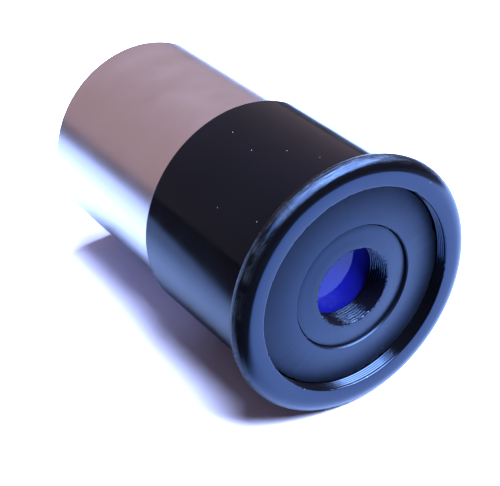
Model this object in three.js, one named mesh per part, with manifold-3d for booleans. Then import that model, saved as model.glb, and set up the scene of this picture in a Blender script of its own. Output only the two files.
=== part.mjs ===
// A telescope eyepiece for a narrow drawtube, lying on its side: a moulded black body with a round
// eye flange, a bright metal barrel that screws into its back, and the lenses, rings and stops that
// the two of them hold.
//
// Frame: millimetres, +Z up. The optical axis is the Y axis, the eye looks in from -Y and the barrel
// points to +Y. The origin is on the axis, halfway along the eyepiece.
//
// Every turned piece is drawn as a profile of [radius, station] points, where the station is the
// distance behind the front of the eye flange.
import * as THREE from "three";
import { mergeVertices } from "three/addons/utils/BufferGeometryUtils.js";
import Module from "manifold-3d";

// ---- Driving dimensions ----
const FACETS = 40; // flats round every turned piece, with one flat at the bottom
const LENGTH = 44.6; // front of the flange to the end of the barrel
const FIT = 0.05; // end play between pieces that touch
const THREAD_GAP = 0.2; // radial room between a screwed piece and its seat

// Eye flange and body
const FLANGE_R = 14.7;
const FLANGE_LIP_R = 12.94; // where the flat front of the flange starts to round over
const FLANGE_CREST = 1.2; // station of the widest part of the flange
const FLANGE_LAND = 0.15; // straight band at the widest part
const FLANGE_BACK_ROUND = 1.0;
const FLANGE_FILLET = 0.55;
const BODY_R = 13.15;
const BODY_END = 21.17;
const BODY_EDGE = 0.25;
const RIM_R = 11.71; // inner edge of the flange's flat front
const RIM_DRAFT = 0.14; // how far the recess wall leans in
const WEB_FRONT = 2.1; // flat floor under the face ring
const WEB_BACK = 3.2;
const CELL_BORE_R = 8.1;
const CELL_BORE_END = 10.2;
const STACK_BORE_R = 10.75;
const STACK_BORE_END = 14.5;
const THREAD_R = 11.5; // outside of the barrel's screwed front end
const COUNTERBORE_GAP = 0.13; // room round the barrel where it enters the body
const COUNTERBORE_DEPTH = 0.4;

// Face ring, the shallow cone round the eye hole
const FACE_OUTER_STATION = 1.44;
const FACE_INNER_STATION = 0.81;
const FACE_INNER_R = 7.14;
const FACE_STEP_DRAFT = 0.09;

// Eye-lens retainer, the disc with the grooved eye hole
const RETAINER_R = 6.98;
const RETAINER_RIM_STATION = 1.19;
const RETAINER_EYE_STATION = 0.94;
const RETAINER_BOSS_R = 5.85;
const RETAINER_BOSS_END = 3.55;
const EYE_R = 4.39;
const EYE_TAPER = 0.12; // how much narrower the eye hole is at its bottom
const EYE_CHAMFER = 0.15;
const EYE_GROOVES = 4;
const EYE_GROOVE_DEPTH = 0.14;

// Eye doublet, its cell and the cell's lock ring
const EYE_LENS_R = 5.85;
const EYE_LENS_FACE = 3.88; // flat front of the eye lens
const EYE_LENS_CENTRE = 0.6;
const CEMENT_RADIUS = 11;
const SHIM_BORE_R = 4.7;
const CEMENT_GAP = 0.03;
const EYE_LENS_BACK_RADIUS = 12;
const EYE_LENS_BACK_EDGE = 6.5;
const CELL_R = 7.95;
const CELL_BORE = 6.05;
const CELL_LIP_R = 5.2;
const CELL_LIP_STATION = 6.95;
const CELL_END = 8.3;
const LOCK_RING_END = 9.85;
const LOCK_RING_BORE = 5.6;

// Spacer tube
const SPACER_R = 10.6;
const SPACER_BORE = 9.7;

// Barrel
const BARREL_R = 12.25;
const BARREL_BORE = 11.25;
const BARREL_FRONT = 15.75;
const BARREL_EDGE = 0.2;
const SPIGOT_BORE = 10.4;
const RELIEF_R = 11.2; // groove behind the barrel's thread
const RELIEF_LENGTH = 0.6;
const LENS_SEAT_STATION = 20.4;
const LENS_SEAT_R = 9.4;
const LENS_SEAT_END = 21.9;

// Field lens and its ring
const FIELD_LENS_R = 10.05;
const FIELD_LENS_RADIUS = 18;
const FIELD_LENS_BACK = 20.35;
const FIELD_LENS_EDGE = 1.0;
const FIELD_RING_R = 10.25;
const FIELD_RING_BORE = 9.3;
const FIELD_RING_END = 18.6;

// Field stop
const STOP_R = 11.1;
const STOP_OPENING_R = 6.8;
const STOP_RIM_BORE = 10.2;
const STOP_FRONT = 27;
const STOP_PLATE = 0.8;
const STOP_END = 29.4;

// Spanner slots in the screwed rings
const SLOT_WIDTH = 1.2;
const SLOT_DEPTH = 0.7;

const wasm = await Module();
wasm.setup();

// ---- Materials ----
function finish(color, roughness, metalness) {
  return new THREE.MeshStandardMaterial({ color, roughness, metalness });
}

const glossBlack = () => finish(0x14131a, 0.12, 0);
const faceBlack = () => finish(0x17171d, 0.3, 0);
const blackenedMetal = () => finish(0x101012, 0.6, 0.4);
const brightMetal = () => finish(0xc9c4c4, 0.22, 1);
const plainAluminium = () => finish(0x9a9a9c, 0.4, 1);
const blackFibre = () => finish(0x161616, 0.9, 0);
const coatedGlass = () => finish(0x2a2ac0, 0.05, 0);
const clearGlass = () => finish(0xd8e4e8, 0.05, 0);

// ---- Profiles ----
// Points along an elliptical arc, angles in degrees from the outward radius towards the barrel.
function arc(centreR, centreStation, radial, axial, from, to, steps) {
  const points = [];
  for (let i = 0; i <= steps; i += 1) {
    const angle = THREE.MathUtils.degToRad(from + ((to - from) * i) / steps);
    points.push([centreR + radial * Math.cos(angle), centreStation + axial * Math.sin(angle)]);
  }
  return points;
}

// How far a sphere falls away from its vertex at a given distance from the axis.
function sag(sphere, r) {
  return sphere - Math.sqrt(sphere * sphere - r * r);
}

// A lens face from the axis out to the edge; direction +1 falls towards the barrel, -1 to the eye.
function lensFace(vertex, sphere, edgeR, direction, steps = 4) {
  const points = [];
  for (let i = 0; i <= steps; i += 1) {
    const r = (edgeR * i) / steps;
    points.push([r, vertex + direction * sag(sphere, r)]);
  }
  return points;
}

// The body of revolution of a profile. A ring's profile is closed on itself; a lens's profile
// starts and ends on the axis.
function turned(profile) {
  const onAxis = profile[0][0] === 0;
  const outline = onAxis ? profile : [...profile, profile[0]];
  const points = outline.map(([r, station]) => new THREE.Vector2(r, station - LENGTH / 2));
  return new THREE.LatheGeometry(points, FACETS, Math.PI / FACETS);
}

// ---- Cutting ----
function toSolid(geometry) {
  const bare = geometry.clone();
  bare.deleteAttribute("normal");
  bare.deleteAttribute("uv");
  const merged = mergeVertices(bare, 1e-4);
  const vertProperties = new Float32Array(merged.attributes.position.array);
  const triVerts = new Uint32Array(merged.index.array);
  return new wasm.Manifold(new wasm.Mesh({ numProp: 3, vertProperties, triVerts }));
}

function toGeometry(solid) {
  const mesh = solid.getMesh();
  const geometry = new THREE.BufferGeometry();
  geometry.setAttribute("position", new THREE.BufferAttribute(mesh.vertProperties, 3));
  geometry.setIndex(new THREE.BufferAttribute(mesh.triVerts, 1));
  geometry.computeVertexNormals();
  return geometry;
}

// Cuts the pair of spanner slots across the end face of a ring.
function withSpannerSlots(ring, station, reach) {
  const bar = new THREE.BoxGeometry(2 * reach, 2 * SLOT_DEPTH, SLOT_WIDTH);
  bar.translate(0, station - LENGTH / 2, 0);
  return toGeometry(toSolid(ring).subtract(toSolid(bar)));
}

// ---- Sub-parts ----
function bodyShell() {
  const backCentre = FLANGE_CREST + FLANGE_LAND;
  const flangeBack = backCentre + FLANGE_BACK_ROUND;
  const backRoundR = FLANGE_R - FLANGE_BACK_ROUND;
  const boreR = THREAD_R + THREAD_GAP;
  const counterboreR = BARREL_R + COUNTERBORE_GAP;
  return turned([
    [RIM_R, 0],
    ...arc(FLANGE_LIP_R, FLANGE_CREST, FLANGE_R - FLANGE_LIP_R, FLANGE_CREST, -90, 0, 4),
    ...arc(backRoundR, backCentre, FLANGE_BACK_ROUND, FLANGE_BACK_ROUND, 0, 90, 3),
    [BODY_R + 0.3 * FLANGE_FILLET, flangeBack + 0.3 * FLANGE_FILLET],
    [BODY_R, flangeBack + FLANGE_FILLET],
    [BODY_R, BODY_END - BODY_EDGE],
    [BODY_R - BODY_EDGE, BODY_END],
    [counterboreR, BODY_END],
    [counterboreR, BODY_END - COUNTERBORE_DEPTH],
    [boreR, BODY_END - COUNTERBORE_DEPTH],
    [boreR, STACK_BORE_END],
    [STACK_BORE_R, STACK_BORE_END],
    [STACK_BORE_R, CELL_BORE_END],
    [CELL_BORE_R, CELL_BORE_END],
    [CELL_BORE_R, WEB_BACK],
    [RETAINER_BOSS_R + THREAD_GAP, WEB_BACK],
    [RETAINER_BOSS_R + THREAD_GAP, WEB_FRONT],
    [RIM_R - RIM_DRAFT, WEB_FRONT],
  ]);
}

function faceRing() {
  const outerR = RIM_R - RIM_DRAFT - FIT;
  return turned([
    [FACE_INNER_R, FACE_INNER_STATION],
    [outerR, FACE_OUTER_STATION],
    [outerR, WEB_FRONT - FIT],
    [FACE_INNER_R - FACE_STEP_DRAFT, WEB_FRONT - FIT],
  ]);
}

function eyeRetainer() {
  const bottomR = EYE_R - EYE_TAPER;
  const discBack = WEB_FRONT - FIT;
  const bore = [[bottomR, RETAINER_BOSS_END]];
  const top = RETAINER_EYE_STATION + EYE_CHAMFER;
  const pitch = (RETAINER_BOSS_END - top) / EYE_GROOVES;
  for (let i = EYE_GROOVES - 1; i >= 0; i -= 1) {
    const station = top + i * pitch;
    const r = EYE_R - (EYE_TAPER * i) / EYE_GROOVES;
    bore.push([r + EYE_GROOVE_DEPTH, station + 0.5 * pitch]);
    bore.push([r, station]);
  }
  return turned([
    [EYE_R + EYE_CHAMFER, RETAINER_EYE_STATION],
    [RETAINER_R, RETAINER_RIM_STATION],
    [RETAINER_R, discBack],
    [RETAINER_BOSS_R, discBack],
    [RETAINER_BOSS_R, RETAINER_BOSS_END],
    ...bore,
  ]);
}

function eyeShim() {
  const front = RETAINER_BOSS_END + FIT;
  const back = EYE_LENS_FACE - FIT;
  return turned([
    [SHIM_BORE_R, front],
    [RETAINER_BOSS_R - FIT, front],
    [RETAINER_BOSS_R - FIT, back],
    [SHIM_BORE_R, back],
  ]);
}

function eyeLensFront() {
  return turned([
    [0, EYE_LENS_FACE],
    [EYE_LENS_R, EYE_LENS_FACE],
    ...lensFace(EYE_LENS_FACE + EYE_LENS_CENTRE, CEMENT_RADIUS, EYE_LENS_R, 1).reverse(),
  ]);
}

function eyeLensRear() {
  const frontVertex = EYE_LENS_FACE + EYE_LENS_CENTRE + CEMENT_GAP;
  const rearVertex = EYE_LENS_BACK_EDGE + sag(EYE_LENS_BACK_RADIUS, EYE_LENS_R);
  return turned([
    ...lensFace(frontVertex, CEMENT_RADIUS, EYE_LENS_R, 1),
    ...lensFace(rearVertex, EYE_LENS_BACK_RADIUS, EYE_LENS_R, -1).reverse(),
  ]);
}

function lensCell() {
  return turned([
    [CELL_BORE, WEB_BACK + FIT],
    [CELL_R, WEB_BACK + FIT],
    [CELL_R, CELL_END],
    [CELL_LIP_R, CELL_END],
    [CELL_LIP_R, CELL_LIP_STATION],
    [CELL_BORE, CELL_LIP_STATION],
  ]);
}

function cellLockRing() {
  const ring = turned([
    [LOCK_RING_BORE, CELL_END + FIT],
    [CELL_R, CELL_END + FIT],
    [CELL_R, LOCK_RING_END],
    [LOCK_RING_BORE, LOCK_RING_END],
  ]);
  return withSpannerSlots(ring, LOCK_RING_END, CELL_R + 1);
}

function spacerTube() {
  return turned([
    [SPACER_BORE, CELL_BORE_END + FIT],
    [SPACER_R, CELL_BORE_END + FIT],
    [SPACER_R, BARREL_FRONT - FIT],
    [SPACER_BORE, BARREL_FRONT - FIT],
  ]);
}

function barrel() {
  const shoulder = BODY_END - COUNTERBORE_DEPTH + FIT;
  return turned([
    [SPIGOT_BORE, BARREL_FRONT],
    [THREAD_R - BARREL_EDGE, BARREL_FRONT],
    [THREAD_R, BARREL_FRONT + BARREL_EDGE],
    [THREAD_R, shoulder - RELIEF_LENGTH],
    [RELIEF_R, shoulder - RELIEF_LENGTH],
    [RELIEF_R, shoulder],
    [BARREL_R - 0.5 * BARREL_EDGE, shoulder],
    [BARREL_R, shoulder + 0.5 * BARREL_EDGE],
    [BARREL_R, LENGTH - BARREL_EDGE],
    [BARREL_R - BARREL_EDGE, LENGTH],
    [BARREL_BORE + 0.5 * BARREL_EDGE, LENGTH],
    [BARREL_BORE, LENGTH - 0.5 * BARREL_EDGE],
    [BARREL_BORE, LENS_SEAT_END],
    [LENS_SEAT_R, LENS_SEAT_END],
    [LENS_SEAT_R, LENS_SEAT_STATION],
    [SPIGOT_BORE, LENS_SEAT_STATION],
  ]);
}

function fieldLensRing() {
  const ring = turned([
    [FIELD_RING_BORE, BARREL_FRONT + FIT],
    [FIELD_RING_R, BARREL_FRONT + FIT],
    [FIELD_RING_R, FIELD_RING_END],
    [FIELD_RING_BORE, FIELD_RING_END],
  ]);
  return withSpannerSlots(ring, BARREL_FRONT + FIT, FIELD_RING_R + 1);
}

function fieldLens() {
  const vertex = FIELD_LENS_BACK - FIELD_LENS_EDGE - sag(FIELD_LENS_RADIUS, FIELD_LENS_R);
  return turned([
    ...lensFace(vertex, FIELD_LENS_RADIUS, FIELD_LENS_R, 1, 5),
    [FIELD_LENS_R, FIELD_LENS_BACK],
    [0, FIELD_LENS_BACK],
  ]);
}

function fieldStop() {
  const ring = turned([
    [STOP_OPENING_R, STOP_FRONT],
    [STOP_R, STOP_FRONT],
    [STOP_R, STOP_END],
    [STOP_RIM_BORE, STOP_END],
    [STOP_RIM_BORE, STOP_FRONT + STOP_PLATE],
    [STOP_OPENING_R + STOP_PLATE, STOP_FRONT + STOP_PLATE],
    [STOP_OPENING_R, STOP_FRONT + 0.2],
  ]);
  return withSpannerSlots(ring, STOP_END, STOP_R + 1);
}

// ---- Assembly ----
const subParts = [
  ["body_shell", bodyShell, glossBlack],
  ["face_ring", faceRing, faceBlack],
  ["eye_lens_retainer", eyeRetainer, faceBlack],
  ["eye_lens_shim", eyeShim, blackFibre],
  ["eye_lens_front_element", eyeLensFront, coatedGlass],
  ["eye_lens_rear_element", eyeLensRear, clearGlass],
  ["eye_lens_cell", lensCell, plainAluminium],
  ["cell_lock_ring", cellLockRing, blackenedMetal],
  ["spacer_tube", spacerTube, blackenedMetal],
  ["field_lens_ring", fieldLensRing, blackenedMetal],
  ["field_lens", fieldLens, clearGlass],
  ["barrel", barrel, brightMetal],
  ["field_stop", fieldStop, blackenedMetal],
];

const eyepiece = new THREE.Group();
for (const [name, shape, material] of subParts) {
  const mesh = new THREE.Mesh(shape(), material());
  mesh.name = name;
  eyepiece.add(mesh);
}

export default eyepiece;
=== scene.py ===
# A small telescope eyepiece lying on a pale table: a glossy black body with a rounded eye flange, a
# bright barrel, and the glass and rings inside them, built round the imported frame.
#
# Every piece is turned about the Y axis. A profile is a list of (radius, station) points in
# millimetres, where the station is the distance behind the front of the flange.
import math

import bmesh
import bpy
from mathutils import Matrix, Vector, noise


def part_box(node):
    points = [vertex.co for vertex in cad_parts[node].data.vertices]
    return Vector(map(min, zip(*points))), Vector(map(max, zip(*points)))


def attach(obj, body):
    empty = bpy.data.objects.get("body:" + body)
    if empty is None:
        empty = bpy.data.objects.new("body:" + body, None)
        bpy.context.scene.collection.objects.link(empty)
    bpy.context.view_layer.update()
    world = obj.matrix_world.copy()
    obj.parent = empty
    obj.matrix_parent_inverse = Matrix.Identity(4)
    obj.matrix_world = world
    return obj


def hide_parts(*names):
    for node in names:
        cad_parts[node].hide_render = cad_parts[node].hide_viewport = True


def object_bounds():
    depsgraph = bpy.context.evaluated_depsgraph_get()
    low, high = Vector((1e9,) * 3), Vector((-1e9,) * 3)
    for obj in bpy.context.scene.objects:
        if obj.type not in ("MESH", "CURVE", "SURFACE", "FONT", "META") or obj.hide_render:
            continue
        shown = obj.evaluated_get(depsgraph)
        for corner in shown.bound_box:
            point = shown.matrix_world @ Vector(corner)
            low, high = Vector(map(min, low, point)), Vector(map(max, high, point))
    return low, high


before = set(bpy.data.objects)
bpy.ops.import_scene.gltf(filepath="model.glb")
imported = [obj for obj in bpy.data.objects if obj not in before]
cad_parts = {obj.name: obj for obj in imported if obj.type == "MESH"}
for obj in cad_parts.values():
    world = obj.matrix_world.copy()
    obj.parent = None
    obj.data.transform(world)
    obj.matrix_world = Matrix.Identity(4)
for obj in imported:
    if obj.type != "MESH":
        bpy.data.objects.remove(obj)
CAD_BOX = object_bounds()

MM = 0.001
FACETS = 40  # flats on the frame's turned pieces, with flats facing X and Z
SEGMENTS = 240
FRONT = CAD_BOX[0][1] / MM


# ---- What the frame says ----
class Span:
    """Outer radius and first and last station of a frame node, in millimetres."""

    def __init__(self, node):
        low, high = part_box(node)
        self.r = high[0] / MM / math.cos(math.pi / FACETS)
        self.front = low[1] / MM - FRONT
        self.back = high[1] / MM - FRONT


SHELL = Span("body_shell")
FACE = Span("face_ring")
RETAINER = Span("eye_lens_retainer")
SHIM = Span("eye_lens_shim")
EYE_FRONT = Span("eye_lens_front_element")
EYE_REAR = Span("eye_lens_rear_element")
CELL = Span("eye_lens_cell")
LOCK = Span("cell_lock_ring")
SPACER = Span("spacer_tube")
FIELD_RING = Span("field_lens_ring")
FIELD_LENS = Span("field_lens")
BARREL = Span("barrel")
STOP = Span("field_stop")

# ---- Sizes that the frame's boxes don't give, in millimetres ----
LIP_R = 12.94  # where the flange's flat front starts to round over
CREST = 1.2  # station of the flange's widest part
CREST_LAND = 0.15
BACK_ROUND = 1.0
FILLET = 0.55
BODY_R = 13.15
RIM_R = 11.71
RIM_DRAFT = 0.14
RIDGES = 4
RIDGE_START = 0.24
RIDGE_PITCH = 0.28
RIDGE_DEPTH = 0.09
CHIP_DEPTH = 0.08
WEB_FRONT = 2.1
WEB_BACK = 3.2
CELL_BORE = 8.1
CELL_BORE_END = 10.2
STACK_BORE = 10.75
STACK_BORE_END = 14.5
THREAD_R = 11.5
THREAD_ROOM = 0.2
COUNTERBORE_ROOM = 0.13
COUNTERBORE_DEPTH = 0.4
BARREL_PITCH = 1.0
FACE_HOLE = 7.14
FACE_EDGE_STATION = 1.44
STEP_DRAFT = 0.09
RETAINER_RIM = 1.19
BOSS_R = 5.85
EYE_R = 4.39
EYE_TAPER = 0.12
EYE_GROOVES = 7
EYE_GROOVE_DEPTH = 0.09
EYE_RIM_WEAR = 0.22
SHIM_BORE = 4.7
CEMENT_CURVE = 11.0
EYE_BACK_CURVE = 12.0
EYE_CENTRE = 0.6
CELL_INSIDE = 6.05
CELL_LIP = 5.2
CELL_LIP_STATION = 6.95
LOCK_BORE = 5.6
SPACER_BORE = 9.7
SPIGOT_BORE = 10.4
RELIEF_R = 11.2
RELIEF = 0.6
SEAT_R = 9.4
SEAT_STATION = 20.4
SEAT_END = 21.9
TUBE_BORE = 11.25
FIELD_CURVE = 18.0
RING_BORE = 9.3
STOP_OPENING = 6.8
STOP_PLATE = 0.8
STOP_RIM_BORE = 10.2
SLOT_WIDTH = 1.2
SLOT_DEPTH = 0.7
SEAM = 0.03  # height of the parting line on the flange's crest
BODY_THREAD_DEPTH = 0.17
BARREL_THREAD_DEPTH = 0.24
BOSS_THREAD_DEPTH = 0.14
BOSS_PITCH = 0.5
SPACER_GROOVES = 10
SPACER_GROOVE_DEPTH = 0.15
SPACER_LAND = 0.3
NICK_DEPTH = 0.3  # at the outer edge of the face ring
CHATTER = 0.035  # roughness of the teeth in the eye hole
EYE_CHAMFER = 0.1
EYE_CHAMFER_DEPTH = 0.08
# one tooth of the eye hole, from its back: share of the pitch, share of the depth
EYE_TOOTH = ((0.98, 0.0), (0.86, 1.0), (0.4, 0.3), (0.1, 0.0))

# How far each piece's sharp edges are broken, in millimetres
BODY_BREAK = 0.12
FACE_BREAK = 0.04
EYE_BREAK = 0.03
SHIM_BREAK = 0.03
RING_BREAK = 0.06
GLASS_BREAK = 0.08
CELL_BREAK = 0.08
FIELD_GLASS_BREAK = 0.12
FINE_BREAK = 0.05
BARREL_BREAK = 0.14

# ---- Looks that several materials share ----
BLACK_IOR = 1.47
# blue tint on the black plastic's reflections: a painted reflection colour standing in for the bluish light
BLACK_PAINTED_BLUE_REFLECTION = (0.27, 0.46, 0.84, 1.0)
DUST_SCALE = 640
DUST_SIZE = 0.028

# ---- The stage, in metres ----
TABLE_HALF = 1.2
TABLE_GAP = 0.04 * MM
TABLE_PALE = ((0.74, 0.74, 0.93, 1), (0.78, 0.78, 0.96, 1))
SHEET_COLOUR = (0.33, 0.42, 0.58, 1)
BEYOND_SHEET = (0.01, 0.007, 0.007, 1)
SHEET_SIZE = (0.19, 0.20)
SHEET_TURN = math.radians(-40.5)
SHEET_CENTRE = (0.022, 0.034, 0)
SHEET_FADE = 0.03
NEAR_EDGE_WAY = (0.9, 0.43, 0.0)
NEAR_EDGE = -0.0185
NEAR_EDGE_SOFT = 0.003
# where reflections see the table left of the part its colour is darkened: a painted shadow
PAINTED_SHADOW_FADE = (-0.034, -0.004)
PAINTED_SHADOW_DIM = 0.35
LAMP_PLACE = (0.28, -0.30, 0.8)
LAMP_SIZE = (0.85, 0.85)
LAMP_POWER = 140.0
LAMP_COLOUR = (0.58, 0.68, 1.0)
ROOM_DIM = (0.10, 0.08, 0.11, 1)
ROOM_WARM = (0.36, 0.27, 0.30, 1)
ROOM_WARM_WAY = (0.1, 0.93, 0.35)
ROOM_FADE = (0.1, 0.75)
BACKDROP = (1.1, 1.1, 1.1, 1)

# ---- The camera ----
CAMERA_FOCAL = 98.85
CAMERA_SENSOR = 36.0
CAMERA_AZIMUTH = math.radians(31.57)
CAMERA_ELEVATION = math.radians(31.96)
CAMERA_ROLL = math.radians(-3.46)
CAMERA_DISTANCE = 0.1538
CAMERA_AIM = (-2.15, -5.07, -1.81)  # millimetres


# ---- Profiles ----
def arc(centre_r, centre_s, radial, axial, start, end, steps=10):
    """Points on an ellipse, angles in degrees from straight out towards the barrel."""
    points = []
    for i in range(steps + 1):
        a = math.radians(start + (end - start) * i / steps)
        points.append((centre_r + radial * math.cos(a), centre_s + axial * math.sin(a)))
    return points


def sag(curve, r):
    return curve - math.sqrt(curve * curve - r * r)


def dome(vertex, curve, edge_r, way, steps=20):
    """A lens face from the axis to its edge; way +1 falls towards the barrel."""
    return [
        (edge_r * i / steps, vertex + way * sag(curve, edge_r * i / steps))
        for i in range(steps + 1)
    ]


def ease(points, radius, closed=True, steps=3):
    """Rounds the sharp corners of a profile with small arcs, as a real edge is broken."""
    out = []
    count = len(points)
    for i, point in enumerate(points):
        if not closed and i in (0, count - 1):
            out.append(point)
            continue
        here = Vector(point)
        back = Vector(points[i - 1]) - here
        ahead = Vector(points[(i + 1) % count]) - here
        if min(back.length, ahead.length) < 1e-6:
            continue
        turn = math.pi - back.angle(ahead)
        if turn < math.radians(20):
            out.append(point)
            continue
        reach = min(radius, 0.45 * back.length, 0.45 * ahead.length)
        first = here + back.normalized() * reach
        last = here + ahead.normalized() * reach
        for k in range(steps + 1):
            t = k / steps
            bend = first * (1 - t) ** 2 + here * 2 * t * (1 - t) + last * t * t
            out.append((bend.x, bend.y))
    return out


def divided(points, step, closed=True):
    """The same outline with no edge along the axis longer than step."""
    out = []
    count = len(points)
    for i in range(count if closed else count - 1):
        a = Vector(points[i])
        b = Vector(points[(i + 1) % count])
        parts = max(1, math.ceil(abs(b.y - a.y) / step))
        out += [tuple(a.lerp(b, k / parts)) for k in range(parts)]
    if not closed:
        out.append(points[-1])
    return out


# ---- Making a turned piece ----
def face_out(mesh):
    """Turns every face outwards."""
    shell = bmesh.new()
    shell.from_mesh(mesh)
    bmesh.ops.recalc_face_normals(shell, faces=shell.faces)
    shell.to_mesh(mesh)
    shell.free()


def turned(name, profile, closed=True, shape=None):
    """A closed mesh of revolution. shape(radius, station, angle) may move the radius."""
    verts = []
    rings = []
    for r, s in profile:
        if r < 1e-6:
            rings.append([len(verts)])
            verts.append((0.0, (s + FRONT) * MM, 0.0))
            continue
        ring = []
        for k in range(SEGMENTS):
            angle = 2 * math.pi * k / SEGMENTS
            here = shape(r, s, angle) if shape else r
            ring.append(len(verts))
            x = here * math.sin(angle)
            z = here * math.cos(angle)
            verts.append((x * MM, (s + FRONT) * MM, z * MM))
        rings.append(ring)
    faces = []
    pairs = list(zip(rings, rings[1:] + rings[:1])) if closed else list(zip(rings, rings[1:]))
    for a, b in pairs:
        for k in range(SEGMENTS):
            n = (k + 1) % SEGMENTS
            if len(a) == 1:
                faces.append((a[0], b[k], b[n]))
            elif len(b) == 1:
                faces.append((a[k], b[0], a[n]))
            else:
                faces.append((a[k], b[k], b[n], a[n]))
    mesh = bpy.data.meshes.new(name)
    mesh.from_pydata(verts, [], faces)
    face_out(mesh)
    mesh.shade_smooth()
    mesh.set_sharp_from_angle(angle=math.radians(38))
    piece = bpy.data.objects.new(name, mesh)
    bpy.context.scene.collection.objects.link(piece)
    return piece


def thread(start, end, crest, pitch, depth, fade=0.5):
    """A radius shift that winds a thread of that depth between two stations, below the crest."""

    def shape(r, s, angle):
        if not (start <= s <= end) or abs(r - crest) > 1e-3:
            return r
        turn = (s / pitch - angle / (2 * math.pi)) % 1.0
        tooth = min(1.0, 2.4 * abs(turn - 0.5))
        room = min(1.0, (s - start) / fade, (end - s) / fade)
        return r + depth * tooth * max(0.0, room)

    return shape


def cut_slots(piece, station, reach):
    """Cuts a pair of spanner slots across the end face of a ring."""
    bpy.ops.mesh.primitive_cube_add(size=1.0, location=(0, (station + FRONT) * MM, 0))
    bar = bpy.context.object
    bar.scale = (2 * reach * MM, 2 * SLOT_DEPTH * MM, SLOT_WIDTH * MM)
    cut = piece.modifiers.new("slots", "BOOLEAN")
    cut.operation = "DIFFERENCE"
    cut.solver = "EXACT"
    cut.object = bar
    bpy.context.view_layer.update()
    graph = bpy.context.evaluated_depsgraph_get()
    result = bpy.data.meshes.new_from_object(piece.evaluated_get(graph))
    piece.modifiers.clear()
    piece.data = result
    piece.data.shade_smooth()
    piece.data.set_sharp_from_angle(angle=math.radians(38))
    bpy.data.objects.remove(bar)


# ---- Materials ----
class Shader:
    """A node material built up by short calls."""

    def __init__(self, name):
        self.material = bpy.data.materials.new(name)
        self.material.use_nodes = True
        self.nodes = self.material.node_tree.nodes
        self.links = self.material.node_tree.links
        self.bsdf = self.nodes["Principled BSDF"]
        self.coords = self.nodes.new("ShaderNodeTexCoord").outputs["Object"]

    def link(self, source, target):
        self.links.new(source, target)

    def set(self, **values):
        for key, value in values.items():
            self.bsdf.inputs[key.replace("_", " ")].default_value = value

    def math(self, operation, a, b=None):
        node = self.nodes.new("ShaderNodeMath")
        node.operation = operation
        for socket, value in zip(node.inputs, (a, b)):
            if value is None:
                continue
            if isinstance(value, (int, float)):
                socket.default_value = value
            else:
                self.link(value, socket)
        return node.outputs[0]

    def spread(self, value, low, high, to_low=0.0, to_high=1.0):
        node = self.nodes.new("ShaderNodeMapRange")
        self.link(value, node.inputs["Value"])
        for key, number in (
            ("From Min", low),
            ("From Max", high),
            ("To Min", to_low),
            ("To Max", to_high),
        ):
            node.inputs[key].default_value = number
        return node.outputs["Result"]

    def noise(self, scale, detail=2.0, vector=None, rough=0.5):
        node = self.nodes.new("ShaderNodeTexNoise")
        self.link(vector or self.coords, node.inputs["Vector"])
        node.inputs["Scale"].default_value = scale
        node.inputs["Detail"].default_value = detail
        node.inputs["Roughness"].default_value = rough
        return node.outputs["Fac"]

    def cells(self, scale):
        node = self.nodes.new("ShaderNodeTexVoronoi")
        self.link(self.coords, node.inputs["Vector"])
        node.inputs["Scale"].default_value = scale
        return node.outputs["Distance"], node.outputs["Color"]

    def split(self, vector):
        node = self.nodes.new("ShaderNodeSeparateXYZ")
        self.link(vector, node.inputs[0])
        return node.outputs

    def radius(self):
        """Distance from the optical axis, in metres."""
        x, _, z = self.split(self.coords)
        return self.math("SQRT", self.math("ADD", self.math("MULTIPLY", x, x), self.math("MULTIPLY", z, z)))

    def station(self):
        return self.split(self.coords)[1]

    def turning_marks(self, per_metre, of=None):
        """Fine rings left by the tool: noise along one number only."""
        node = self.nodes.new("ShaderNodeTexNoise")
        node.noise_dimensions = "1D"
        self.link(of if of is not None else self.radius(), node.inputs["W"])
        node.inputs["Scale"].default_value = per_metre
        node.inputs["Detail"].default_value = 3.0
        return node.outputs["Fac"]

    def streaks(self, slow, fast):
        """Noise drawn out into rings round the axis: slow in angle, fast across the rings."""
        x, y, z = self.split(self.coords)
        join = self.nodes.new("ShaderNodeCombineXYZ")
        self.link(self.math("MULTIPLY", self.math("ARCTAN2", x, z), slow), join.inputs["X"])
        self.link(self.math("MULTIPLY", self.math("ADD", self.radius(), y), fast), join.inputs["Y"])
        return self.noise(1.0, 3, join.outputs["Vector"])

    def mix(self, factor, a, b):
        node = self.nodes.new("ShaderNodeMix")
        node.data_type = "RGBA"
        self.link(factor, node.inputs["Factor"])
        for socket, value in zip((node.inputs["A"], node.inputs["B"]), (a, b)):
            if isinstance(value, tuple):
                socket.default_value = value
            else:
                self.link(value, socket)
        return node.outputs["Result"]

    def bump(self, height, strength, distance):
        node = self.nodes.new("ShaderNodeBump")
        node.inputs["Strength"].default_value = strength
        node.inputs["Distance"].default_value = distance
        self.link(height, node.inputs["Height"])
        self.link(node.outputs["Normal"], self.bsdf.inputs["Normal"])

    def specks(self, scale, size, share):
        """1 on a few dust specks, 0 elsewhere."""
        distance, colour = self.cells(scale)
        near = self.math("LESS_THAN", distance, size)
        pick = self.math("GREATER_THAN", self.split(colour)[0], 1 - share)
        return self.math("MULTIPLY", near, pick)


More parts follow.
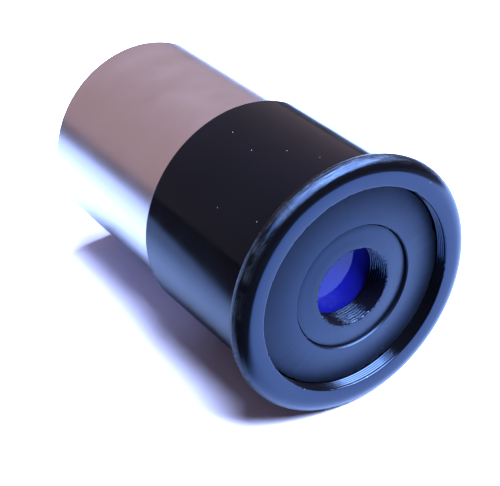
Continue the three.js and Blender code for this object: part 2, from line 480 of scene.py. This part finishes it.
def gloss_black():
    """Polished black moulding: smudged gloss, dust, and scratches along the flange's crest."""
    s = Shader("gloss_black_plastic")
    # reflections tinted blue: a painted reflection colour standing in for the bluish light
    s.set(IOR=BLACK_IOR, Specular_Tint=BLACK_PAINTED_BLUE_REFLECTION)
    smudge = s.spread(s.noise(260, 3), 0.35, 0.75, 0.09, 0.17)
    crest = s.spread(s.radius(), (LIP_R + 1.1) * MM, (SHELL.r - 0.1) * MM)
    scratches = s.spread(s.streaks(3, 30000), 0.47, 0.6)
    patches = s.spread(s.noise(420, 4, rough=0.7), 0.45, 0.6)
    scuff = s.math("MULTIPLY", s.math("MULTIPLY", crest, patches), scratches)
    s.link(s.math("ADD", smudge, s.math("MULTIPLY", scuff, 0.3)), s.bsdf.inputs["Roughness"])
    dust = s.specks(DUST_SCALE, DUST_SIZE, 0.8)
    shade = s.mix(s.noise(120, 2), (0.0006, 0.0006, 0.0008, 1), (0.0016, 0.0014, 0.0018, 1))
    worn = s.mix(s.math("MULTIPLY", scuff, 0.4), shade, (0.035, 0.042, 0.045, 1))
    s.link(s.mix(dust, worn, (0.22, 0.22, 0.2, 1)), s.bsdf.inputs["Base Color"])
    worked = s.math("MULTIPLY", s.math("MULTIPLY", crest, scratches), 0.16)
    s.bump(s.math("ADD", s.math("MULTIPLY", s.noise(140, 1), 0.5), worked), 0.35, 0.0002)
    return s.material


def face_black():
    """Satin black face with faint rings from the lathe, and a dull grooved bore."""
    s = Shader("satin_black_face")
    # reflections tinted blue: a painted reflection colour standing in for the bluish light
    s.set(IOR=BLACK_IOR, Specular_Tint=BLACK_PAINTED_BLUE_REFLECTION)
    marks = s.turning_marks(9000)
    blotch = s.noise(330, 4, rough=0.6)
    bore = s.math("LESS_THAN", s.radius(), (EYE_R + EYE_GROOVE_DEPTH) * MM)
    satin = s.spread(blotch, 0.3, 0.7, 0.34, 0.42)
    plate = s.spread(s.radius(), (FACE_HOLE + 0.1) * MM, (FACE_HOLE + 2.5) * MM, 0.0, 0.16)
    satin = s.math("ADD", satin, plate)
    s.link(s.math("ADD", satin, s.math("MULTIPLY", bore, -0.26)), s.bsdf.inputs["Roughness"])
    shade = s.mix(blotch, (0.0008, 0.0008, 0.0012, 1), (0.0024, 0.0024, 0.0034, 1))
    dust = s.specks(DUST_SCALE, DUST_SIZE, 0.5)
    s.link(s.mix(dust, shade, (0.2, 0.2, 0.2, 1)), s.bsdf.inputs["Base Color"])
    grain = s.math("ADD", s.math("MULTIPLY", marks, 0.15), s.math("MULTIPLY", s.noise(2600, 3), 0.3))
    s.bump(grain, 0.25, 0.00006)
    return s.material


def bright_metal():
    """Plated tube: soft mirror with fine marks round it, handling haze and a few specks."""
    s = Shader("bright_barrel_metal")
    s.set(Metallic=1.0)
    haze = s.noise(170, 3)
    lines = s.turning_marks(26000, s.station())
    rough = s.math("ADD", s.spread(haze, 0.3, 0.7, 0.21, 0.24), s.math("MULTIPLY", lines, 0.03))
    s.link(rough, s.bsdf.inputs["Roughness"])
    # the warm pink tone is partly a slight champagne tint and partly a painted reflection of the warm room
    tone = s.mix(haze, (0.82, 0.72, 0.72, 1), (0.88, 0.79, 0.79, 1))
    dust = s.specks(300, 0.035, 0.12)
    s.link(s.mix(dust, tone, (0.9, 0.88, 0.85, 1)), s.bsdf.inputs["Base Color"])
    s.bump(lines, 0.05, 0.00001)
    return s.material


def black_anodised():
    """Blackened ring or tube with turned grooves."""
    s = Shader("blackened_aluminium")
    s.set(Metallic=0.35)
    lines = s.turning_marks(15000, s.station())
    s.link(s.spread(s.noise(700, 3), 0.3, 0.7, 0.45, 0.65), s.bsdf.inputs["Roughness"])
    s.link(s.mix(lines, (0.010, 0.010, 0.012, 1), (0.028, 0.028, 0.032, 1)), s.bsdf.inputs["Base Color"])
    s.bump(lines, 0.4, 0.00005)
    return s.material


def plain_aluminium():
    s = Shader("plain_aluminium")
    s.set(Metallic=1.0, Anisotropic=0.5)
    lines = s.turning_marks(18000, s.station())
    s.link(s.spread(lines, 0.2, 0.8, 0.28, 0.42), s.bsdf.inputs["Roughness"])
    s.link(s.mix(s.noise(500, 3), (0.52, 0.52, 0.53, 1), (0.66, 0.66, 0.67, 1)), s.bsdf.inputs["Base Color"])
    s.bump(lines, 0.3, 0.00004)
    return s.material


def black_fibre():
    s = Shader("black_fibre")
    weave = s.noise(6000, 3)
    s.set(Roughness=0.9)
    s.link(s.mix(weave, (0.012, 0.012, 0.013, 1), (0.03, 0.03, 0.03, 1)), s.bsdf.inputs["Base Color"])
    s.bump(weave, 0.5, 0.00004)
    return s.material


def coated_glass():
    """Eye-lens glass whose coating throws back deep blue."""
    s = Shader("coated_glass")
    s.set(IOR=1.6, Transmission_Weight=0.45, Specular_Tint=(0.065, 0.085, 0.16, 1.0))
    bloom = s.noise(240, 3)
    s.link(s.spread(bloom, 0.3, 0.8, 0.008, 0.03), s.bsdf.inputs["Roughness"])
    s.link(s.mix(bloom, (0.008, 0.009, 0.21, 1), (0.010, 0.012, 0.27, 1)), s.bsdf.inputs["Base Color"])
    return s.material


def clear_glass():
    s = Shader("clear_glass")
    s.set(IOR=1.52, Transmission_Weight=1.0, Specular_Tint=(0.5, 0.6, 1.0, 1.0))
    bloom = s.noise(200, 3)
    s.link(s.spread(bloom, 0.3, 0.8, 0.004, 0.02), s.bsdf.inputs["Roughness"])
    s.link(s.mix(bloom, (0.93, 0.96, 0.97, 1), (0.97, 0.98, 0.98, 1)), s.bsdf.inputs["Base Color"])
    return s.material


# ---- The pieces ----
def ridged_wall():
    """The recess wall behind the flange's front, from deep to shallow, with fine rings turned in it."""
    steps = 8 * RIDGES
    points = []
    for i in reversed(range(steps + 1)):
        wave = 0.5 - 0.5 * math.cos(2 * math.pi * i / 8)
        station = RIDGE_START + RIDGE_PITCH * i / 8
        points.append((RIM_R - RIM_DRAFT / 2 + RIDGE_DEPTH * wave, station))
    return points


def body_moulding():
    back_centre = CREST + CREST_LAND
    back_r = SHELL.r - BACK_ROUND
    flange_back = back_centre + BACK_ROUND
    bore = THREAD_R + THREAD_ROOM
    outside = [(RIM_R, 0.0)]
    outside += arc(LIP_R, CREST, SHELL.r - LIP_R, CREST, -90, -4, 22)
    outside += [(SHELL.r, CREST), (SHELL.r + SEAM, CREST + 0.04), (SHELL.r, CREST + 0.08)]
    outside += arc(back_r, back_centre, BACK_ROUND, BACK_ROUND, 5, 90, 16)
    fillet_r = BODY_R + FILLET
    outside += arc(fillet_r, flange_back + FILLET, FILLET, FILLET, 270, 180, 10)
    inside = [
        (BODY_R, SHELL.back),
        (BARREL.r + COUNTERBORE_ROOM, SHELL.back),
        (BARREL.r + COUNTERBORE_ROOM, SHELL.back - COUNTERBORE_DEPTH),
        (bore, SHELL.back - COUNTERBORE_DEPTH),
        (bore, STACK_BORE_END),
        (STACK_BORE, STACK_BORE_END),
        (STACK_BORE, CELL_BORE_END),
        (CELL_BORE, CELL_BORE_END),
        (CELL_BORE, WEB_BACK),
        (BOSS_R + THREAD_ROOM, WEB_BACK),
        (BOSS_R + THREAD_ROOM, WEB_FRONT),
        (RIM_R - RIM_DRAFT, WEB_FRONT),
    ]
    profile = divided(ease(outside + inside + ridged_wall(), BODY_BREAK), BARREL_PITCH / 8)
    last = SHELL.back - COUNTERBORE_DEPTH - 0.3
    cut = thread(STACK_BORE_END + 0.8, last, bore, BARREL_PITCH, -BODY_THREAD_DEPTH)

    def worked(r, s, angle):
        """The barrel's thread, and small chips along the sharp inner edge of the flange."""
        if s > 0.13 or abs(r - RIM_R) > 0.13:
            return cut(r, s, angle)
        at = Vector((math.sin(angle), math.cos(angle), 0.4))
        chip = max(0.0, noise.noise(at * 57.0) - 0.28)
        return r + CHIP_DEPTH * min(1.0, 6.0 * chip)

    return turned("body_moulding", profile, shape=worked)


def face_plate():
    edge = RIM_R - RIM_DRAFT - 0.05
    profile = ease(
        [
            (FACE_HOLE - STEP_DRAFT / 4, FACE.front + 0.2),
            (FACE_HOLE + 0.08, FACE.front),
            (edge, FACE_EDGE_STATION),
            (edge, FACE.back),
            (FACE_HOLE - STEP_DRAFT, FACE.back),
        ],
        FACE_BREAK,
    )

    def chipped(r, s, angle):
        """Small nicks round the outer edge, where the ring meets the wall."""
        if r < edge - 0.2:
            return r
        at = Vector((math.sin(angle), math.cos(angle), 0.0))
        nick = max(0.0, noise.noise(at * 19.0) - 0.12)
        nick += 0.6 * max(0.0, noise.noise(at * 47.0) - 0.2)
        return r - NICK_DEPTH * nick

    return turned("face_plate", profile, shape=chipped)


def eye_disc():
    bottom_r = EYE_R - EYE_TAPER
    top = RETAINER.front + EYE_CHAMFER_DEPTH
    pitch = (RETAINER.back - top) / EYE_GROOVES
    bore = [(bottom_r, RETAINER.back)]
    for i in reversed(range(EYE_GROOVES)):
        r = EYE_R - EYE_TAPER * i / EYE_GROOVES
        station = top + i * pitch
        bore += [(r + depth * EYE_GROOVE_DEPTH, station + at * pitch) for at, depth in EYE_TOOTH]
    boss = [(BOSS_R, FACE.back), (BOSS_R, RETAINER.back)]
    mouth = (EYE_R + EYE_CHAMFER, RETAINER.front)
    profile = [mouth, (RETAINER.r, RETAINER_RIM), (RETAINER.r, FACE.back)]
    outline = divided(ease(profile + boss + bore, EYE_BREAK), 0.1)
    first, last = FACE.back + 0.1, RETAINER.back - 0.1
    cut = thread(first, last, BOSS_R, BOSS_PITCH, -BOSS_THREAD_DEPTH, fade=0.2)

    def worn(r, s, angle):
        """The boss's thread, a ragged edge to the eye hole and tool chatter in its grooves."""
        if r > EYE_R + 0.2:
            return cut(r, s, angle)
        at = Vector((math.sin(angle), math.cos(angle), 0.0))
        if s < top:
            rag = max(0.0, noise.noise(at * 21.0) + 0.5 * noise.noise(at * 53.0) + 0.1)
            return r + EYE_RIM_WEAR * min(1.0, 1.6 * rag)
        chatter = noise.noise(at * 17.0 + Vector((0.0, 0.0, 9.0 * s)))
        return r + CHATTER * chatter * min(1.0, 4 * (RETAINER.back - s))

    return turned("eye_disc", outline, shape=worn)


def ring(name, inner, outer, front, back, broken=RING_BREAK):
    profile = [(inner, front), (outer, front), (outer, back), (inner, back)]
    return turned(name, ease(profile, broken))


def shim_washer():
    return ring("shim_washer", SHIM_BORE, SHIM.r, SHIM.front, SHIM.back, SHIM_BREAK)


def eye_glass_front():
    """The negative glass of the doublet: flat to the eye, hollow behind."""
    front = EYE_FRONT.front
    face = [(EYE_FRONT.r * i / 6, front) for i in range(7)]
    hollow = dome(front + EYE_CENTRE, CEMENT_CURVE, EYE_FRONT.r, 1)[::-1]
    return turned("eye_glass_front", ease(face + hollow, GLASS_BREAK, closed=False), closed=False)


def eye_glass_rear():
    face = dome(EYE_REAR.front, CEMENT_CURVE, EYE_REAR.r, 1)
    rear = dome(EYE_REAR.back, EYE_BACK_CURVE, EYE_REAR.r, -1)[::-1]
    return turned("eye_glass_rear", ease(face + rear, GLASS_BREAK, closed=False), closed=False)


def glass_cell():
    profile = [
        (CELL_INSIDE, CELL.front),
        (CELL.r, CELL.front),
        (CELL.r, CELL.back),
        (CELL_LIP, CELL.back),
        (CELL_LIP, CELL_LIP_STATION),
        (CELL_INSIDE, CELL_LIP_STATION),
    ]
    return turned("glass_cell", ease(profile, CELL_BREAK))


def cell_ring():
    piece = ring("cell_ring", LOCK_BORE, LOCK.r, LOCK.front, LOCK.back)
    cut_slots(piece, LOCK.back, LOCK.r + 1)
    return piece


def spacer():
    pitch = (SPACER.back - SPACER.front - 2 * SPACER_LAND) / SPACER_GROOVES
    inside = []
    for i in reversed(range(SPACER_GROOVES)):
        station = SPACER.front + SPACER_LAND + i * pitch
        inside.append((SPACER_BORE, station + 0.9 * pitch))
        inside.append((SPACER_BORE + SPACER_GROOVE_DEPTH, station + 0.4 * pitch))
    profile = [
        (SPACER_BORE, SPACER.front),
        (SPACER.r, SPACER.front),
        (SPACER.r, SPACER.back),
        (SPACER_BORE, SPACER.back),
    ]
    return turned("spacer", ease(profile + inside, FINE_BREAK))


def field_ring():
    piece = ring("field_ring", RING_BORE, FIELD_RING.r, FIELD_RING.front, FIELD_RING.back)
    cut_slots(piece, FIELD_RING.front, FIELD_RING.r + 1)
    return piece


def field_glass():
    face = dome(FIELD_LENS.front, FIELD_CURVE, FIELD_LENS.r, 1)
    profile = face + [(FIELD_LENS.r, FIELD_LENS.back), (0.0, FIELD_LENS.back)]
    return turned("field_glass", ease(profile, FIELD_GLASS_BREAK, closed=False), closed=False)


def barrel_tube():
    shoulder = SHELL.back - COUNTERBORE_DEPTH + 0.05
    profile = [
        (SPIGOT_BORE, BARREL.front),
        (THREAD_R, BARREL.front),
        (THREAD_R, shoulder - RELIEF),
        (RELIEF_R, shoulder - RELIEF),
        (RELIEF_R, shoulder),
        (BARREL.r, shoulder),
        (BARREL.r, BARREL.back),
        (TUBE_BORE, BARREL.back),
        (TUBE_BORE, SEAT_END),
        (SEAT_R, SEAT_END),
        (SEAT_R, SEAT_STATION),
        (SPIGOT_BORE, SEAT_STATION),
    ]
    outline = divided(ease(profile, BARREL_BREAK), BARREL_PITCH / 8)
    first, last = BARREL.front + 0.2, shoulder - RELIEF - 0.1
    cut = thread(first, last, THREAD_R, BARREL_PITCH, -BARREL_THREAD_DEPTH)
    return turned("barrel_tube", outline, shape=cut)


def stop_ring():
    profile = [
        (STOP_OPENING, STOP.front + 0.02),
        (STOP_OPENING + 0.1, STOP.front),
        (STOP.r, STOP.front),
        (STOP.r, STOP.back),
        (STOP_RIM_BORE, STOP.back),
        (STOP_RIM_BORE, STOP.front + STOP_PLATE),
        (STOP_OPENING + STOP_PLATE, STOP.front + STOP_PLATE),
        (STOP_OPENING, STOP.front + 0.2),
    ]
    piece = turned("stop_ring", ease(profile, FINE_BREAK))
    cut_slots(piece, STOP.back, STOP.r + 1)
    return piece


# what makes the piece, the node it stands for, its body, slot and material
PIECES = [
    (body_moulding, "body_shell", "body", "gloss_black_plastic", gloss_black),
    (face_plate, "face_ring", "body", "satin_black_face", face_black),
    (eye_disc, "eye_lens_retainer", "eye_retainer", "satin_black_face", face_black),
    (shim_washer, "eye_lens_shim", "eye_shim", "black_fibre", black_fibre),
    (eye_glass_front, "eye_lens_front_element", "body", "coated_glass", coated_glass),
    (eye_glass_rear, "eye_lens_rear_element", "body", "clear_glass", clear_glass),
    (glass_cell, "eye_lens_cell", "body", "plain_aluminium", plain_aluminium),
    (cell_ring, "cell_lock_ring", "body", "blackened_aluminium", black_anodised),
    (spacer, "spacer_tube", "spacer", "blackened_aluminium", black_anodised),
    (field_ring, "field_lens_ring", "barrel", "blackened_aluminium", black_anodised),
    (field_glass, "field_lens", "barrel", "clear_glass", clear_glass),
    (barrel_tube, "barrel", "barrel", "bright_barrel_metal", bright_metal),
    (stop_ring, "field_stop", "barrel", "blackened_aluminium", black_anodised),
]


def build_pieces():
    materials = {}
    for make, node, body, slot, material in PIECES:
        piece = make()
        if material not in materials:
            materials[material] = material()
        piece.data.materials.clear()
        piece.data.materials.append(materials[material])
        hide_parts(node)
        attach(piece, body)


# ---- Stage, light and camera ----
def table_top():
    """Pale and plain to the camera; in reflections a blue-white sheet that fades into a dark room, with a
    painted shadow darkening it on the left.
    """
    s = Shader("table_top")
    s.set(Roughness=0.7, Specular_IOR_Level=0.2)
    turned_coords = s.nodes.new("ShaderNodeMapping")
    s.link(s.coords, turned_coords.inputs["Vector"])
    turned_coords.vector_type = "TEXTURE"
    turned_coords.inputs["Location"].default_value = SHEET_CENTRE
    turned_coords.inputs["Rotation"].default_value = (0, 0, SHEET_TURN)
    x, y, _ = s.split(turned_coords.outputs["Vector"])
    across = s.spread(s.math("ABSOLUTE", x), SHEET_SIZE[0] / 2 + SHEET_FADE, SHEET_SIZE[0] / 2)
    along = s.spread(s.math("ABSOLUTE", y), SHEET_SIZE[1] / 2 + SHEET_FADE, SHEET_SIZE[1] / 2)
    nearer = s.nodes.new("ShaderNodeVectorMath")
    nearer.operation = "DOT_PRODUCT"
    nearer.inputs[1].default_value = NEAR_EDGE_WAY
    s.link(s.coords, nearer.inputs[0])
    edge = (NEAR_EDGE - NEAR_EDGE_SOFT, NEAR_EDGE + NEAR_EDGE_SOFT)
    near = s.spread(nearer.outputs["Value"], *edge)
    # painted shadow: the reflected sheet is darkened towards the left
    left = s.spread(s.split(s.coords)[0], PAINTED_SHADOW_FADE[0], PAINTED_SHADOW_FADE[1], PAINTED_SHADOW_DIM, 1.0)
    sheet = s.math("MULTIPLY", s.math("MULTIPLY", s.math("MULTIPLY", across, along), near), left)
    reflected = s.mix(sheet, BEYOND_SHEET, SHEET_COLOUR)
    pale = s.mix(s.noise(8, 3), *TABLE_PALE)
    path = s.nodes.new("ShaderNodeLightPath")
    s.link(s.mix(path.outputs["Is Camera Ray"], reflected, pale), s.bsdf.inputs["Base Color"])
    return s.material


def table():
    """A pale table that the flange and the end of the barrel both rest on."""
    front_y = (CREST + FRONT) * MM
    back_y = (BARREL.back + FRONT) * MM
    slope = math.atan2((SHELL.r - BARREL.r) * MM, back_y - front_y)
    half = TABLE_HALF
    mesh = bpy.data.meshes.new("table")
    corners = [(-half, -half, 0), (half, -half, 0), (half, half, 0), (-half, half, 0)]
    mesh.from_pydata(corners, [], [(0, 1, 2, 3)])
    top = bpy.data.objects.new("table", mesh)
    bpy.context.scene.collection.objects.link(top)
    top.location = (0, front_y, -SHELL.r * MM - TABLE_GAP)
    top.rotation_euler = (slope, 0, 0)
    mesh.materials.append(table_top())


def softbox(name, place, aim, size, power, colour):
    light = bpy.data.lights.new(name, "AREA")
    light.shape = "RECTANGLE"
    light.size, light.size_y = size
    light.energy = power
    light.color = colour
    lamp = bpy.data.objects.new(name, light)
    bpy.context.scene.collection.objects.link(lamp)
    lamp.location = place
    lamp.rotation_euler = (Vector(place) - Vector(aim)).to_track_quat("Z", "Y").to_euler()


def room():
    """A dim, warm room for reflections, and plain white where the camera looks past the table."""
    world = bpy.data.worlds.new("room")
    bpy.context.scene.world = world
    world.use_nodes = True
    nodes = world.node_tree.nodes
    links = world.node_tree.links
    out = nodes["World Output"]
    walls = nodes["Background"]
    walls.inputs["Strength"].default_value = 1.0
    sky = nodes.new("ShaderNodeTexCoord").outputs["Generated"]
    towards = nodes.new("ShaderNodeVectorMath")
    towards.operation = "DOT_PRODUCT"
    towards.inputs[1].default_value = ROOM_WARM_WAY
    links.new(sky, towards.inputs[0])
    fade = nodes.new("ShaderNodeMapRange")
    fade.interpolation_type = "SMOOTHSTEP"
    fade.inputs["From Min"].default_value, fade.inputs["From Max"].default_value = ROOM_FADE
    links.new(towards.outputs["Value"], fade.inputs["Value"])
    blend = nodes.new("ShaderNodeMix")
    blend.data_type = "RGBA"
    blend.inputs["A"].default_value = ROOM_DIM
    blend.inputs["B"].default_value = ROOM_WARM
    links.new(fade.outputs["Result"], blend.inputs["Factor"])
    links.new(blend.outputs["Result"], walls.inputs["Color"])
    plain = nodes.new("ShaderNodeBackground")
    plain.inputs["Color"].default_value = BACKDROP
    path = nodes.new("ShaderNodeLightPath")
    mix = nodes.new("ShaderNodeMixShader")
    links.new(path.outputs["Is Camera Ray"], mix.inputs[0])
    links.new(walls.outputs[0], mix.inputs[1])
    links.new(plain.outputs[0], mix.inputs[2])
    links.new(mix.outputs[0], out.inputs["Surface"])


def camera():
    """The photographer's view: the eye end near the lens, the barrel going away up to the left."""
    lens = bpy.data.cameras.new("camera")
    lens.lens = CAMERA_FOCAL
    lens.sensor_width = CAMERA_SENSOR
    lens.clip_start = 0.01
    eye = bpy.data.objects.new("camera", lens)
    bpy.context.scene.collection.objects.link(eye)
    azimuth, elevation = CAMERA_AZIMUTH, CAMERA_ELEVATION
    ahead = Vector(
        (
            math.cos(elevation) * math.sin(azimuth),
            math.cos(elevation) * math.cos(azimuth),
            -math.sin(elevation),
        )
    )
    eye.location = Vector(CAMERA_AIM) * MM - ahead * CAMERA_DISTANCE
    turn = ahead.to_track_quat("-Z", "Y").to_matrix() @ Matrix.Rotation(CAMERA_ROLL, 3, "Z")
    eye.rotation_euler = turn.to_euler()
    bpy.context.scene.camera = eye


camera()
room()
table()
softbox("overhead", LAMP_PLACE, (0, 0, 0), LAMP_SIZE, LAMP_POWER, LAMP_COLOUR)
build_pieces()
bpy.context.scene.view_settings.view_transform = "Standard"
